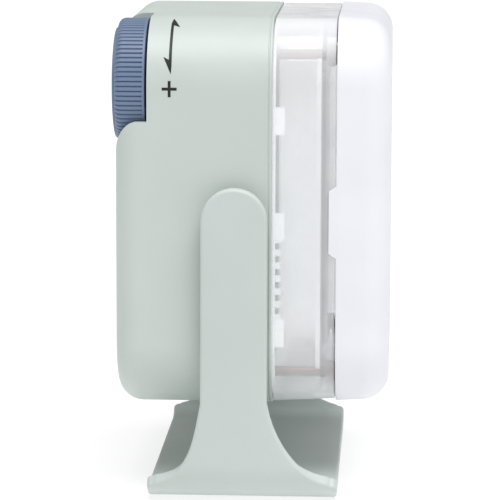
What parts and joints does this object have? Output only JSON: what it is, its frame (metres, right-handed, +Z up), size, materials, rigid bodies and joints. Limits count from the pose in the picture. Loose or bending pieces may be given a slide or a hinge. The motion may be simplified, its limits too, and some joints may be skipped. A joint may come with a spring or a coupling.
{
  "type": "desk weather station",
  "caption": "Desk weather station head with a clear middle and frosted front, tilting in a U-shaped stand with a flared foot, set by a knurled rear wheel.",
  "frame": {"origin": "centre of the object's footprint, on the surface it stands on", "axes": "+X out of the frosted front, +Z up, the setting wheel on the -Y side at the rear"},
  "size_m": [0.0975, 0.1344, 0.1691],
  "materials": {
    "mint_case": "satin moulded",
    "mint_stand": "satin moulded",
    "clear_plastic": "clear, polished",
    "frosted_plastic": "frosted, translucent",
    "blue_wheel": "satin moulded",
    "white_plastic": "satin",
    "backlight": "satin sheet",
    "display": "polished",
    "dark_plastic": "satin",
    "circuit_board": "solder mask",
    "rubber": "matte",
    "nylon": "satin",
    "steel": "bright",
    "nickel_strip": "nickel plated",
    "cell_wrap": "printed sleeve"
  },
  "bodies": {
    "stand": {"yoke_stand": "mint_stand", "foot_pad_1": "rubber", "foot_pad_2": "rubber", "foot_pad_3": "rubber", "foot_pad_4": "rubber", "friction_washer_near": "nylon", "friction_washer_far": "nylon", "pivot_clip_near": "steel", "pivot_clip_far": "steel"},
    "head": {"rear_casing": "mint_case", "seam_gasket": "white_plastic", "clear_frame": "clear_plastic", "pivot_bush_near": "nylon", "pivot_bush_far": "nylon", "case_screw_1": "steel", "case_screw_2": "steel", "case_screw_3": "steel", "case_screw_4": "steel", "screw_washer_1": "steel", "screw_washer_2": "steel", "screw_washer_3": "steel", "screw_washer_4": "steel", "wheel_encoder": "dark_plastic", "display_tray": "white_plastic", "backlight_panel": "backlight", "display_panel": "display", "main_board": "circuit_board", "board_screw_1": "steel", "board_screw_2": "steel", "board_screw_3": "steel", "board_screw_4": "steel", "buzzer": "dark_plastic", "board_connector": "white_plastic", "air_louvre": "white_plastic", "sensor_board": "circuit_board", "air_sensor": "dark_plastic", "battery_tray": "white_plastic", "battery_1": "cell_wrap", "battery_2": "cell_wrap", "battery_3": "cell_wrap", "battery_spring_1": "nickel_strip", "battery_spring_2": "nickel_strip", "battery_spring_3": "nickel_strip", "battery_contact_1": "nickel_strip", "battery_contact_2": "nickel_strip", "battery_contact_3": "nickel_strip"},
    "setting_wheel": {"setting_wheel": "blue_wheel", "wheel_cap": "blue_wheel"},
    "front_cover": {"front_cover": "frosted_plastic"},
    "battery_door": {"battery_door": "mint_case"}
  },
  "joints": [
    {"name": "head_tilt", "type": "hinge", "parent": "stand", "child": "head", "pos_m": [-0.005, 0, 0.1], "axis": [0, 1, 0], "range_deg": [-90, 90]},
    {"name": "wheel_turn", "type": "hinge", "parent": "head", "child": "setting_wheel", "pos_m": [-0.042, -0.0352, 0.145], "axis": [-1, 0, 0], "range_deg": [-150, 150]},
    {"name": "cover_pull", "type": "slide", "parent": "head", "child": "front_cover", "axis": [1, 0, 0], "range_m": [0, 0.022]},
    {"name": "door_pull", "type": "slide", "parent": "head", "child": "battery_door", "axis": [-1, 0, 0], "range_m": [0, 0.012]}
  ]
}
